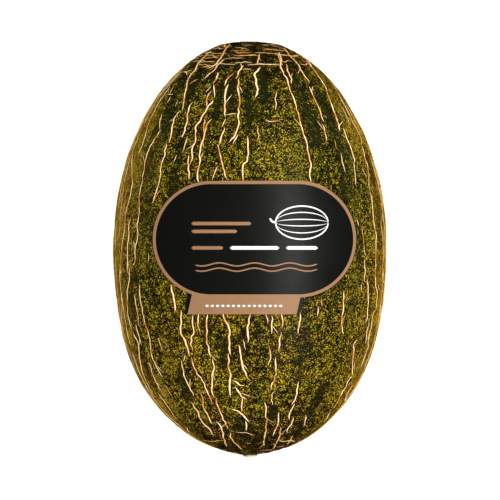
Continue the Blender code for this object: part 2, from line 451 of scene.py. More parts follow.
def wander(count, rng):
    """Sideways shifts along a line, smooth over a few millimetres."""
    knots = max(3, int(count * CRACK_STEP / WANDER_STEP) + 2)
    values = [rng.gauss(0, CRACK_WANDER) for _ in range(knots)]
    spread = smooth_path(np.column_stack((np.arange(knots), values)), count)
    return spread[:, 1]


def run_line(places, rng):
    """A crack's middle line on the smooth melon, with points one step apart and its corners slightly cut."""
    corners = np.array([rind_place(*place) for place in places])
    early = corners[:-1] * 0.8 + corners[1:] * 0.2
    late = corners[:-1] * 0.2 + corners[1:] * 0.8
    cut = np.stack((early, late), axis=1).reshape(-1, 3)
    cut = np.concatenate((corners[:1], cut, corners[-1:]))
    reach = np.linalg.norm(np.diff(cut, axis=0), axis=1)
    along = np.concatenate(([0.0], np.cumsum(reach)))
    count = max(4, int(along[-1] / CRACK_STEP) + 1)
    place = np.linspace(0, along[-1], count)
    line = np.stack([np.interp(place, along, cut[:, i]) for i in range(3)], axis=1)
    base, normal, _ = over_rind(line)
    ahead = np.gradient(base, axis=0)
    ahead /= np.linalg.norm(ahead, axis=1)[:, None]
    side = np.cross(normal, ahead)
    line = base + side * wander(count, rng)[:, None]
    return over_rind(line)[0], side


def crack_widths(count, width, rng):
    """Half widths along one stroke: full in the middle, a point at each end, uneven on the way."""
    gone = np.minimum(np.arange(count), np.arange(count)[::-1]) * CRACK_STEP
    taper = min(CRACK_TAPER, count * CRACK_STEP * 0.45)
    shape = np.clip(gone / taper, 0, 1) ** 0.6
    row = rng.uniform(0, 50)
    uneven = 1 + 0.36 * np.array([noise.noise(Vector((i * 0.55, row, 0))) for i in range(count)])
    return np.maximum(width / 2 * shape * uneven, 0.06 * MM)


def crack_strokes(width, places, rng):
    """Strokes of one crack: overlapping lengths that step sideways a little, with a few short barbs."""
    line, side = run_line(places, rng)
    count = len(line)
    strokes = []
    start = 0
    while start < count - 3:
        reach = int(rng.uniform(16, 38) * MM / CRACK_STEP)
        end = min(start + reach, count)
        if count - end < 7 * MM / CRACK_STEP:
            end = count
        shift = rng.uniform(-1, 1) * STROKE_SHIFT
        part = line[start:end] + side[start:end] * shift
        wide = width * MM * rng.uniform(0.85, 1.12)
        strokes.append((part, crack_widths(len(part), wide, rng)))
        if width >= MIDDLE and rng.random() < BARB_SHARE and len(part) > 8:
            strokes.append(barb(part, side[start:end], wide, rng))
        if end == count:
            break
        start = end - int(rng.uniform(2, 3.5) * MM / CRACK_STEP) - 1
    return strokes


def barb(part, side, width, rng):
    """A short branch that leaves a stroke at a shallow angle."""
    root = rng.randrange(2, len(part) - 3)
    away = part[root + 1] - part[root]
    away /= np.linalg.norm(away)
    lean = rng.choice((-1, 1)) * rng.uniform(0.35, 0.8)
    heading = away * rng.choice((-1, 1)) + side[root] * lean
    length = rng.uniform(3, 7) * MM
    count = max(4, int(length / CRACK_STEP) + 1)
    reach = np.linspace(0, length, count)[:, None]
    line = over_rind(part[root] + heading * reach)[0]
    return line, crack_widths(count, width * 0.55, rng)


def drawn_strokes(cracks, seed):
    """Strokes of the cracks that are listed one by one."""
    rng = random.Random(seed)
    strokes = []
    for width, *places in cracks:
        strokes += crack_strokes(width, places, rng)
    return strokes


def ring_strokes(rings, angle_from, angle_to, seed):
    """Short cracks that run round the melon near one of its ends."""
    rng = random.Random(seed)
    strokes = []
    for along in rings:
        angle = angle_from + rng.uniform(0, 30)
        while angle < angle_to:
            turn = rng.uniform(14, 46)
            if rng.random() < RING_SHARE:
                places = [(angle + turn * i / 4, along + rng.uniform(-0.6, 0.6)) for i in range(5)]
                strokes += crack_strokes(rng.choice((THIN * 0.8, THIN, MIDDLE)), places, rng)
            angle += turn + rng.uniform(2, 22)
    return strokes


def lane_strokes(angle_from, angle_to, spacing, seed):
    """Long cracks from end to end over the sides and the underside, in lanes so many degrees apart."""
    rng = random.Random(seed)
    strokes = []
    lanes = round((angle_to - angle_from) / spacing)
    for lane in range(lanes):
        angle = angle_from + (angle_to - angle_from) * (lane + 0.5) / lanes
        along = 114 - rng.uniform(0, 22)
        drift = rng.uniform(-2, 2)
        while along > -112:
            length = rng.choice(LANE_LENGTHS) * rng.uniform(0.8, 1.2)
            end = max(along - length, -115)
            if rng.random() < LANE_SHARE:
                width = rng.choice((THICK, MIDDLE, MIDDLE, THIN))
                count = max(3, int((along - end) / 6))
                places = []
                for i in range(count):
                    drift += rng.gauss(0, 0.8)
                    drift *= 0.92
                    places.append((angle + drift, along + (end - along) * i / (count - 1)))
                strokes += crack_strokes(width, places, rng)
            along = end + rng.uniform(-12, 3)
    return strokes


@functools.cache
def all_strokes():
    """Strokes of every cork piece, by piece name."""
    back_rings = ring_strokes(STEM_RINGS, 84, 276, 7) + ring_strokes(BLOSSOM_RINGS, 84, 276, 8)
    return {
        "cork_upper": drawn_strokes(UPPER_CRACKS, 3) + ring_strokes(STEM_RINGS, -80, 80, 5),
        "cork_lower": drawn_strokes(LOWER_CRACKS, 4) + ring_strokes(BLOSSOM_RINGS, -80, 80, 9),
        "cork_left": lane_strokes(-92, -73, 4.2, 10),
        "cork_right": lane_strokes(75, 92, 4.2, 11),
        "cork_back": lane_strokes(92, 268, 6.6, 6) + back_rings,
    }


# --- Helpers for meshes ---

def deselect_all():
    if bpy.context.object and bpy.context.object.mode != "OBJECT":
        bpy.ops.object.mode_set(mode="OBJECT")
    bpy.ops.object.select_all(action="DESELECT")


def pick(piece):
    deselect_all()
    piece.select_set(True)
    bpy.context.view_layer.objects.active = piece


def get_places(mesh):
    flat = np.empty(len(mesh.vertices) * 3, np.float32)
    mesh.vertices.foreach_get("co", flat)
    return flat.reshape(-1, 3).astype(float)


def set_places(mesh, places):
    mesh.vertices.foreach_set("co", places.astype(np.float32).ravel())
    mesh.update()


def set_values(mesh, name, values):
    layer = mesh.attributes.new(name, "FLOAT", "POINT")
    layer.data.foreach_set("value", values.astype(np.float32))


def settle(piece):
    """Puts the piece's place into its mesh and turns all faces outward."""
    pick(piece)
    bpy.ops.object.transform_apply(location=True, rotation=True, scale=True)
    bpy.ops.object.mode_set(mode="EDIT")
    bpy.ops.mesh.select_all(action="SELECT")
    bpy.ops.mesh.normals_make_consistent(inside=False)
    bpy.ops.object.mode_set(mode="OBJECT")
    bpy.ops.object.shade_smooth()


def stroke_mesh(name, strokes):
    """Tubes along the strokes, made from one curve; returns the piece and each corner's half width."""
    curve = bpy.data.curves.new(name, "CURVE")
    curve.dimensions = "3D"
    curve.bevel_depth = 1.0
    curve.bevel_resolution = 1
    for line, half_widths in strokes:
        spline = curve.splines.new("POLY")
        spline.points.add(len(line) - 1)
        spline.points.foreach_set("co", np.column_stack((line, np.ones(len(line)))).ravel())
        spline.points.foreach_set("radius", half_widths)
    piece = bpy.data.objects.new(name, curve)
    bpy.context.scene.collection.objects.link(piece)
    pick(piece)
    bpy.ops.object.convert(target="MESH")
    piece = bpy.context.object
    bpy.ops.object.mode_set(mode="EDIT")
    bpy.ops.mesh.select_all(action="SELECT")
    bpy.ops.mesh.fill_holes(sides=12)
    bpy.ops.object.mode_set(mode="OBJECT")
    widths = np.concatenate([half_widths for _, half_widths in strokes])
    sides = len(piece.data.vertices) / len(widths)
    if sides != int(sides):
        raise RuntimeError(f"{name}: {len(piece.data.vertices)} corners for {len(widths)} points")
    return piece, np.repeat(widths, int(sides))


# --- Materials ---

# The rind's specks: how fine each of their patterns is, in features to a metre.
SPECK_GRAIN = 1700.0
SPECK_BEND = 1900.0
SPECK_CELLS = 1850.0
SPECK_CLUMPS = 300.0

# How much each kind of skin thins its specks out; a negative number adds specks. The extra specks on the
# flanks are painted light.
SPECK_THINNING = (("stripe", 0.21), ("tip", 0.12), ("patch", -0.06), ("lit_flank", -0.06), ("moss", -0.14))


class Wiring:
    """Adds nodes to a tree; a value that isn't a socket is written into the input, colours as 3 parts."""

    def __init__(self, tree):
        self.tree = tree
        tree.nodes.clear()

    def put(self, socket, value):
        if isinstance(value, bpy.types.NodeSocket):
            self.tree.links.new(value, socket)
        elif socket.type == "RGBA":
            socket.default_value = (*value, 1)
        else:
            socket.default_value = value

    def add(self, kind, inputs=None, **settings):
        made = self.tree.nodes.new(kind)
        for key, value in settings.items():
            setattr(made, key, value)
        for key, value in (inputs or {}).items():
            self.put(made.inputs[key], value)
        return made

    def math(self, operation, *values, clamp=False):
        made = self.add("ShaderNodeMath", dict(enumerate(values)), operation=operation, use_clamp=clamp)
        return made.outputs[0]

    def vector(self, operation, *values):
        made = self.add("ShaderNodeVectorMath", dict(enumerate(values)), operation=operation)
        return made.outputs["Value" if operation == "LENGTH" else "Vector"]

    def span(self, value, low, high, to_low=0.0, to_high=1.0):
        """The value moved from one span to another, held at its ends, with soft corners."""
        made = self.add("ShaderNodeMapRange", interpolation_type="SMOOTHSTEP")
        for key, item in (("Value", value), ("From Min", low), ("From Max", high)):
            self.put(made.inputs[key], item)
        made.inputs["To Min"].default_value = to_low
        made.inputs["To Max"].default_value = to_high
        return made.outputs["Result"]

    def mix(self, share, first, second):
        made = self.add("ShaderNodeMix", data_type="RGBA")
        self.put(made.inputs["Factor"], share)
        self.put(made.inputs[6], first)
        self.put(made.inputs[7], second)
        return made.outputs[2]

    def noise(self, vector, scale, detail=2.0, roughness=0.5, distortion=0.0, output="Fac"):
        inputs = {"Vector": vector, "Scale": scale, "Detail": detail, "Roughness": roughness}
        inputs["Distortion"] = distortion
        return self.add("ShaderNodeTexNoise", inputs).outputs[output]

    def attribute(self, name):
        return self.add("ShaderNodeAttribute", attribute_name=name).outputs["Fac"]

    def scaled(self, value, factor):
        return self.math("MULTIPLY", value, factor)

    def apart(self, vector):
        made = self.add("ShaderNodeSeparateXYZ", {0: vector})
        return made.outputs[0], made.outputs[1], made.outputs[2]

    def together(self, x, y, z):
        return self.add("ShaderNodeCombineXYZ", {0: x, 1: y, 2: z}).outputs[0]


def new_group(name, inputs, outputs):
    """An empty node group with named sockets; returns its wiring, its inputs and its output node."""
    tree = bpy.data.node_groups.new(name, "ShaderNodeTree")
    wiring = Wiring(tree)
    for label, kind, default in inputs:
        socket = tree.interface.new_socket(label, in_out="INPUT", socket_type=kind)
        socket.default_value = default
    for label, kind in outputs:
        tree.interface.new_socket(label, in_out="OUTPUT", socket_type=kind)
    return wiring, wiring.add("NodeGroupInput").outputs, wiring.add("NodeGroupOutput")


def meridian_group():
    """Coordinates that stretch a pattern from end to end of the melon."""
    name = "Melon Meridian"
    if name in bpy.data.node_groups:
        return bpy.data.node_groups[name]
    sockets = [("Around", "NodeSocketFloat", 4.0), ("Along", "NodeSocketFloat", 10.0)]
    results = [("Vector", "NodeSocketVector"), ("Facing Up", "NodeSocketFloat")]
    wiring, given, result = new_group(name, sockets, results)
    place = wiring.add("ShaderNodeTexCoord").outputs["Object"]
    x, y, z = wiring.apart(wiring.vector("SUBTRACT", place, (0, 0, AXIS_HEIGHT)))
    turn = wiring.vector("NORMALIZE", wiring.together(x, 0.0, z))
    spread = wiring.vector("MULTIPLY", turn, wiring.together(given["Around"], 0.0, given["Around"]))
    end_ways = wiring.together(0.0, wiring.math("MULTIPLY", y, given["Along"]), 0.0)
    wiring.put(result.inputs["Vector"], wiring.vector("ADD", spread, end_ways))
    wiring.put(result.inputs["Facing Up"], wiring.apart(turn)[2])
    return bpy.data.node_groups[name]


def grain_group():
    """Fine uneven grain: a soft mask and its height, for the cork and the label's stock."""
    name = "Fine Grain"
    if name in bpy.data.node_groups:
        return bpy.data.node_groups[name]
    sockets = [("Scale", "NodeSocketFloat", 900.0)]
    results = [("Mask", "NodeSocketFloat"), ("Height", "NodeSocketFloat")]
    wiring, given, result = new_group(name, sockets, results)
    place = wiring.add("ShaderNodeTexCoord").outputs["Object"]
    coarse = wiring.noise(place, given["Scale"], 3.0, 0.6)
    fine = wiring.noise(place, wiring.math("MULTIPLY", given["Scale"], 2.7), 2.0, 0.5)
    wiring.put(result.inputs["Mask"], wiring.span(coarse, 0.38, 0.64))
    wiring.put(result.inputs["Height"], wiring.math("ADD", coarse, wiring.math("MULTIPLY", fine, 0.5)))
    return bpy.data.node_groups[name]


def new_material(name):
    made = bpy.data.materials.new(name)
    made.use_nodes = True
    return made, Wiring(made.node_tree)


def finish_material(wiring, colour, roughness, height, bump, specular):
    """Ends a material in one Principled shader; bump is how high the height stands, in metres."""
    shader = wiring.add("ShaderNodeBsdfPrincipled")
    wiring.put(shader.inputs["Base Color"], colour)
    wiring.put(shader.inputs["Roughness"], roughness)
    shader.inputs["Specular IOR Level"].default_value = specular
    relief_node = wiring.add("ShaderNodeBump")
    relief_node.inputs["Strength"].default_value = 1.0
    relief_node.inputs["Distance"].default_value = bump
    wiring.put(relief_node.inputs["Height"], height)
    wiring.put(shader.inputs["Normal"], relief_node.outputs["Normal"])
    output = wiring.add("ShaderNodeOutputMaterial")
    wiring.put(output.inputs["Surface"], shader.outputs["BSDF"])


def rind_regions(wiring, place):
    """Masks from 0 to 1 over the whole rind, by name, and the slow change of its tint."""
    stripes = wiring.add("ShaderNodeGroup", {"Around": 4.6, "Along": 11.0}, node_tree=meridian_group())
    patches = wiring.add("ShaderNodeGroup", {"Around": 3.0, "Along": 26.0}, node_tree=meridian_group())
    facing_up = stripes.outputs["Facing Up"]
    stripe_noise = wiring.noise(stripes.outputs["Vector"], 1.0, 2.0, 0.55)
    soft_stripe = wiring.scaled(wiring.span(stripe_noise, 0.54, 0.68), 0.7)
    patch_noise = wiring.noise(patches.outputs["Vector"], 1.3, 2.0, 0.6)
    # Painted light: the flank mask marks the lower sides, whose skin and specks are painted lighter and ochre
    # in place of the light that brightens them.
    lit_flank_edge = wiring.math("ADD", facing_up, wiring.scaled(wiring.noise(place, 38.0), -0.45))
    underside = wiring.span(facing_up, -0.12, -0.6)
    above_ground = wiring.math("MULTIPLY_ADD", underside, -0.6, 1.0)
    _, y, _ = wiring.apart(place)
    tip = wiring.span(wiring.math("ABSOLUTE", y), 0.088, 0.118)
    tint = wiring.noise(stripes.outputs["Vector"], 3.0, 3.0, 0.65)
    tint = wiring.math("MULTIPLY_ADD", y, -1.2, tint)
    return {
        "stripe": wiring.math("MAXIMUM", soft_stripe, wiring.attribute("stripe")),
        "patch": wiring.span(patch_noise, 0.45, 0.68),
        "moss": wiring.attribute("moss"),
        "lit_flank": wiring.math("MULTIPLY", wiring.span(lit_flank_edge, 0.42, -0.22), above_ground),
        "tip": tip,
        "tint": wiring.math("MULTIPLY_ADD", tip, 0.15, tint),
    }


def rind_specks(wiring, place, regions):
    """How full the specks are, how bright, the hue of each and the grain that they share."""
    grain = wiring.noise(place, SPECK_GRAIN, 0.0, 0.5, 0.3)
    bend = wiring.noise(place, SPECK_BEND, 0.0, output="Color")
    bend = wiring.vector("SUBTRACT", bend, (0.5, 0.5, 0.5))
    bend = wiring.vector("MULTIPLY", bend, (0.5 * MM, 0.5 * MM, 0.5 * MM))
    bent = wiring.vector("ADD", place, bend)
    cells = wiring.add("ShaderNodeTexVoronoi", {"Vector": bent, "Scale": SPECK_CELLS})
    cell_tone, cell_hue, _ = wiring.apart(cells.outputs["Color"])
    seam = wiring.span(cells.outputs["Distance"], 0.40, 0.75)
    tone = wiring.math("ADD", wiring.scaled(grain, 0.4), wiring.scaled(cell_tone, 0.6))
    level = wiring.math("MULTIPLY_ADD", wiring.noise(place, SPECK_CLUMPS, 2.0, 0.6), -0.62, 0.935)
    for region, thinning in SPECK_THINNING:
        level = wiring.math("MULTIPLY_ADD", regions[region], thinning, level)
    above = wiring.math("SUBTRACT", tone, level)
    full = wiring.span(above, -0.14, 0.13)
    full = wiring.math("MULTIPLY", full, wiring.math("MULTIPLY_ADD", seam, -0.6, 1.0))
    return full, wiring.span(above, 0.04, 0.22), cell_hue, grain


def speck_colour(wiring, settings, regions, bright, cell_hue):
    """Green, olive or ochre specks, the fullest with a bright middle, and on the flanks lighter ochre ones as
    painted light.
    """
    hue = wiring.math("ADD", wiring.scaled(regions["tint"], 1.6), wiring.scaled(cell_hue, 0.7))
    colour = wiring.mix(wiring.span(hue, 0.75, 1.15), settings.speck_green, settings.speck_olive)
    colour = wiring.mix(wiring.span(hue, 1.15, 1.5), colour, settings.speck_ochre)
    middle = wiring.mix(wiring.span(cell_hue, 0.25, 0.6), settings.speck_lime, settings.speck_bright)
    middle_share = wiring.math("MULTIPLY_ADD", regions["moss"], -0.6, bright, clamp=True)
    colour = wiring.mix(middle_share, colour, middle)
    # Painted light: lighter ochre specks on the lower sides.
    return wiring.mix(wiring.scaled(regions["lit_flank"], 0.75), colour, settings.lit_flank_speck)


def with_ground_spot(wiring, settings, place, colour, full):
    """The colour with the pale spot where the fruit lay on the ground."""
    reach = wiring.vector("LENGTH", wiring.vector("MULTIPLY", place, (1.35, 0.72, 1.0)))
    edge = wiring.math("ADD", reach, wiring.scaled(wiring.noise(place, 55.0, 3.0), 0.03))
    spot = wiring.span(edge, 0.066, 0.040)
    pale = wiring.mix(full, settings.spot_shade, settings.spot_pale)
    return wiring.mix(wiring.scaled(spot, 0.85), colour, pale)


def rind_material(settings):
    """Dark green skin crowded with yellow-green specks, darker right beside the cork."""
    made, wiring = new_material("melon rind")
    place = wiring.add("ShaderNodeTexCoord").outputs["Object"]
    regions = rind_regions(wiring, place)
    full, bright, cell_hue, grain = rind_specks(wiring, place, regions)
    skin = wiring.mix(regions["stripe"], settings.skin_dark, settings.stripe_dark)
    # Painted light: the skin on the lower sides is painted lighter where light brightens it.
    skin = wiring.mix(regions["lit_flank"], skin, settings.lit_flank_skin)
    colour = wiring.mix(full, skin, speck_colour(wiring, settings, regions, bright, cell_hue))
    colour = with_ground_spot(wiring, settings, place, colour, full)
    beside = wiring.span(wiring.attribute("crack_gap"), 1.1 * MM, 0.3 * MM)
    colour = wiring.mix(wiring.scaled(beside, 0.75), colour, settings.crack_shadow)
    roughness = wiring.span(grain, 0.3, 0.7, 0.32, 0.44)
    finish_material(wiring, colour, roughness, wiring.math("ADD", full, grain), 0.045 * MM, 0.1)
    return made


def tinted_cork(wiring, settings, place, colour):
    """The cork's colour, browner low on the sides and towards both ends."""
    sides = wiring.add("ShaderNodeGroup", node_tree=meridian_group())
    low = wiring.scaled(wiring.span(sides.outputs["Facing Up"], 0.55, 0.10), 0.7)
    colour = wiring.mix(low, colour, settings.low_cork)
    _, y, _ = wiring.apart(place)
    near_end = wiring.scaled(wiring.span(wiring.math("ABSOLUTE", y), 0.100, 0.114), 0.75)
    return wiring.mix(near_end, colour, settings.end_cork)


def cork_material(name, settings, crest, edge, tinted):
    """Dry cork: a pale crest that turns brown towards the skin, with painted shade darkening it where it
    meets the skin.
    """
    made, wiring = new_material(name)
    place = wiring.add("ShaderNodeTexCoord").outputs["Object"]
    grain = wiring.add("ShaderNodeGroup", {"Scale": 700.0}, node_tree=grain_group())
    rise = wiring.attribute("rise")
    tone = wiring.math("SUBTRACT", wiring.noise(place, 95.0, 2.0, 0.6), 0.5)
    pale = wiring.math("ADD", rise, wiring.scaled(tone, -2.4))
    colour = wiring.mix(wiring.span(pale, 0.52, 0.84), edge, crest)
    if tinted:
        colour = tinted_cork(wiring, settings, place, colour)
    colour = wiring.mix(wiring.scaled(grain.outputs["Mask"], 0.22), colour, edge)
    # Painted shade: the lowest cork, where it meets the skin and in the lowest spots of the scars, is
    # darkened nearly to black.
    colour = wiring.mix(wiring.span(rise, 0.22, 0.02), colour, settings.painted_foot_shade)
    finish_material(wiring, colour, 0.8, grain.outputs["Height"], 0.08 * MM, 0.2)
    return made


def label_material(settings):
    """Black printed film with a brown rim, and a brown tab between two black slivers."""
    made, wiring = new_material("label sheet")
    place = wiring.add("ShaderNodeTexCoord").outputs["Object"]
    x, y, _ = wiring.apart(wiring.vector("SUBTRACT", place, (*BAR_CENTRE, 0.0)))
    half = BAR_HEIGHT / 2
    past_middle = wiring.math("SUBTRACT", wiring.math("ABSOLUTE", x), BAR_WIDTH / 2 - half)
    across = wiring.math("MAXIMUM", past_middle, 0.0)
    reach = wiring.vector("LENGTH", wiring.together(across, y, 0.0))
    edge = settings.edge_blur
    inner = half - settings.rim_width
    rim = wiring.span(reach, inner - edge, inner + edge)
    outside = wiring.span(reach, half - edge, half + edge)

    lean = TAB_LEAN / TAB_DROP
    middle = wiring.math("MULTIPLY_ADD", wiring.math("ADD", y, half), lean, TAB_SHIFT)
    beside = wiring.math("ABSOLUTE", wiring.math("SUBTRACT", x, middle))
    brown_half = TAB_WIDTH / 2 - settings.tab_margin
    sliver = wiring.math("MULTIPLY", wiring.span(beside, brown_half - edge, brown_half + edge), outside)

    grain = wiring.add("ShaderNodeGroup", {"Scale": 420.0}, node_tree=grain_group())
    film = settings.film
    shade = wiring.scaled(grain.outputs["Mask"], 0.35)
    colour = wiring.mix(rim, film, wiring.mix(shade, settings.rim, settings.rim_shade))
    colour = wiring.mix(sliver, colour, film)
    roughness = wiring.span(wiring.noise(place, 60.0), 0.3, 0.7, 0.34, 0.44)
    finish_material(wiring, colour, roughness, grain.outputs["Height"], 0.006 * MM, 0.26)
    return made


def ink_material(name, colour, shade):
    """Opaque printed ink with a faintly uneven cover."""
    made, wiring = new_material(name)
    grain = wiring.add("ShaderNodeGroup", {"Scale": 500.0}, node_tree=grain_group())
    cover = wiring.mix(wiring.scaled(grain.outputs["Mask"], 0.3), colour, shade)
    finish_material(wiring, cover, 0.45, grain.outputs["Height"], 0.01 * MM, 0.4)
    return made


def dress(piece, material):
    """Gives the piece its material and the body that it rides."""
    piece.data.materials.clear()
    piece.data.materials.append(material)
    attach(piece, "root")


# --- Sizes and colours that a user would change ---

def colour_property(name, description, default):
    return bpy.props.FloatVectorProperty(
        name=name, description=description, default=default, subtype="COLOR", size=3, min=0, max=1
    )


def length_property(name, description, default):
    return bpy.props.FloatProperty(name=name, description=description, default=default, unit="LENGTH")


class RindSettings(bpy.types.PropertyGroup):
    """The melon's skin."""

    segments: bpy.props.IntProperty(name="Segments", description="Faces round the melon", default=392, min=48)
    rings: bpy.props.IntProperty(name="Rings", description="Faces from end to end", default=250, min=32)
    skin_dark: colour_property("Skin", "Dark skin between the specks", (0.0042, 0.0034, 0.0002))
    stripe_dark: colour_property("Stripe", "Skin in the dark stripes", (0.010, 0.012, 0.0015))
    # Painted light: lighter skin on the lower sides stands in for the light there.
    lit_flank_skin: colour_property("Flank skin", "Skin low on the sides", (0.068, 0.041, 0.0006))
    speck_olive: colour_property("Olive speck", "Ochre olive specks", (0.130, 0.095, 0.0008))
    speck_green: colour_property("Green speck", "Green specks", (0.070, 0.082, 0.0010))
    speck_ochre: colour_property("Ochre speck", "Ochre specks", (0.230, 0.110, 0.0010))
    speck_lime: colour_property("Lime speck", "Middle of the brightest green specks", (0.33, 0.35, 0.004))
    speck_bright: colour_property("Bright speck", "Middle of the brightest specks", (0.66, 0.42, 0.005))
    # Painted light: lighter ochre specks on the lower sides stand in for the light there.
    lit_flank_speck: colour_property("Flank speck", "Specks low on the sides", (0.56, 0.285, 0.002))
    spot_pale: colour_property("Ground spot", "Skin where the fruit lay on the ground", (0.66, 0.46, 0.10))
    spot_shade: colour_property("Ground spot shade", "Darker skin of the ground spot", (0.42, 0.27, 0.035))
    crack_shadow: colour_property("Crack edge", "Skin right beside the cork", (0.030, 0.013, 0.0008))


class CorkSettings(bpy.types.PropertyGroup):
    """The corky cracks and scars."""

    crest: colour_property("Crest", "Pale top of the cork", (0.95, 0.70, 0.38))
    edge: colour_property("Edge", "Orange brown edge of the cork", (0.485, 0.195, 0.024))
    scar: colour_property("Scar", "Pale cork of the scars at both ends", (0.55, 0.42, 0.25))
    scar_shade: colour_property("Scar shade", "Brown cork in the hollows of the scars", (0.26, 0.155, 0.070))
    low_cork: colour_property("Low cork", "Cork low on the sides", (0.72, 0.39, 0.085))
    end_cork: colour_property("End cork", "Cork of the cracks near both ends", (0.50, 0.245, 0.055))
    # Painted shade: near black where the cork meets the skin.
    painted_foot_shade: colour_property("Foot", "Where the cork meets the skin", (0.05, 0.025, 0.004))


class LabelSettings(bpy.types.PropertyGroup):
    """The printed label."""

    film: colour_property("Film", "Black of the label", (0.0045, 0.0048, 0.0035))
    rim: colour_property("Rim", "Brown of the rim and the tab", (0.275, 0.146, 0.070))
    rim_shade: colour_property("Rim shade", "Darker brown in the print", (0.235, 0.118, 0.052))
    ink_white: colour_property("White ink", "White of the ornament", (0.85, 0.83, 0.79))
    ink_white_shade: colour_property("White ink shade", "Thinner white in the print", (0.70, 0.66, 0.60))
    ink_brown: colour_property("Brown ink", "Brown of the ornament", (0.30, 0.150, 0.070))
    rim_width: length_property("Rim width", "Width of the brown rim", 1.75 * MM)
    tab_margin: length_property("Tab margin", "Black left at each side of the tab", 1.6 * MM)
    edge_blur: length_property("Print edge", "Softness of printed edges", 0.06 * MM)


class StageSettings(bpy.types.PropertyGroup):
    """Floor, lights and camera."""

    view_width: length_property("View width", "Width that the camera takes in at the melon", 0.2899)
    camera_height: length_property("Camera height", "Height over the melon's middle", 10.0)
    camera_shift: length_property("Camera place", "Where along the melon the camera looks", -0.6 * MM)
    floor_colour: colour_property("Floor", "Pale floor", (0.9, 0.9, 0.9))


# --- Operators ---

class MELON_OT_rind(bpy.types.Operator):
    """Makes the melon's rind, with its lumps, and marks how far each part is from the cork"""

    bl_idname = "melon.rind"
    bl_label = "Rind"

    def execute(self, context):
        settings = context.scene.melon_rind
        piece, base = self.smooth_melon(settings)
        gap = self.crack_gap(base)
        clear = smooth_step(label_distance(base), 0, 3 * MM)
        bank = CRACK_BANK * (1 - smooth_step(gap, 0, BANK_REACH)) * clear
        _, normal, _ = over_rind(base)
        places = base + normal * (relief(base) + bank)[:, None]
        places[:, 2] = np.maximum(places[:, 2], GROUND_GAP)
        set_places(piece.data, places)
        set_values(piece.data, "crack_gap", gap)
        set_values(piece.data, "stripe", band_weight(base, DARK_STRIPES))
        set_values(piece.data, "moss", band_weight(base, MOSSY_PATCHES))
        piece.data.uv_layers[0].name = "OFBake"
        settle(piece)
        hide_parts("melon")
        dress(piece, rind_material(settings))
        return {"FINISHED"}

    def smooth_melon(self, settings):
        """A sphere drawn out to the smooth melon's outline, and the places of its corners."""
        deselect_all()
        bpy.ops.mesh.primitive_uv_sphere_add(
            segments=settings.segments,
            ring_count=settings.rings,
            radius=RADIUS,
            location=tuple(AXIS),
            rotation=(-math.pi / 2, 0, 0),
        )
        piece = bpy.context.object
        piece.name = piece.data.name = "melon_rind"
        bpy.ops.object.transform_apply(location=True, rotation=True, scale=True)
        local = get_places(piece.data) - AXIS
        out = np.hypot(local[:, 0], local[:, 2])
        turn = local[:, [0, 2]] / np.maximum(out, 1e-9)[:, None]
        turn[out < 1e-6] = (0, 1)
        share = np.arctan2(out, local[:, 1]) / math.pi
        y, ring = (np.interp(share, OUTLINE_SHARE, OUTLINE[:, i]) for i in range(2))
        return piece, np.stack((turn[:, 0] * ring, y, turn[:, 1] * ring), axis=1) + AXIS

    def crack_gap(self, base):
        """Distance from each place to the edge of the nearest cork stroke."""
        strokes = [stroke for group in all_strokes().values() for stroke in group]
        points = np.concatenate([line for line, _ in strokes])
        halves = np.concatenate([half for _, half in strokes])
        tree = KDTree(len(points))
        for i, point in enumerate(points):
            tree.insert(point, i)
        tree.balance()
        found = [tree.find(place) for place in base]
        half = halves[[hit[1] for hit in found]]
        return np.clip(np.array([hit[2] for hit in found]) - half, 0, 8 * MM)


class MELON_OT_cork(bpy.types.Operator):
    """Makes the corky cracks that stand on the rind"""

    bl_idname = "melon.cork"
    bl_label = "Cork cracks"

    def execute(self, context):
        settings = context.scene.melon_cork
        material = cork_material("cork", settings, settings.crest, settings.edge, tinted=True)
        for name, strokes in all_strokes().items():
            piece, half = stroke_mesh(name, self.clear_of_label(strokes))
            places = get_places(piece.data)
            base, normal, height = over_rind(places)
            rise = np.clip(height / half, -1, 1)
            ragged = np.array([noise.noise(Vector(p) * 900) for p in base]) * 0.12 * MM
            seat = relief(base) + CRACK_BANK * smooth_step(label_distance(base), 0, 3 * MM)
            crown = np.minimum(height, CORK_HEIGHT_LIMIT) * CRACK_FLATNESS
            lift = seat + crown + ragged * (rise > 0) - 0.02 * MM
            places = base + normal * lift[:, None]
            places[:, 2] = np.maximum(places[:, 2], 0)
            set_places(piece.data, places)
            set_values(piece.data, "rise", rise)
            settle(piece)
            dress(piece, material)
        return {"FINISHED"}

    def clear_of_label(self, strokes):
        """The strokes without the points that lie well under the label."""
        kept = []
        for line, half in strokes:
            clear = label_distance(line) > -UNDER_LABEL
            if clear.sum() > 3:
                kept.append((line[clear], half[clear]))
        return kept


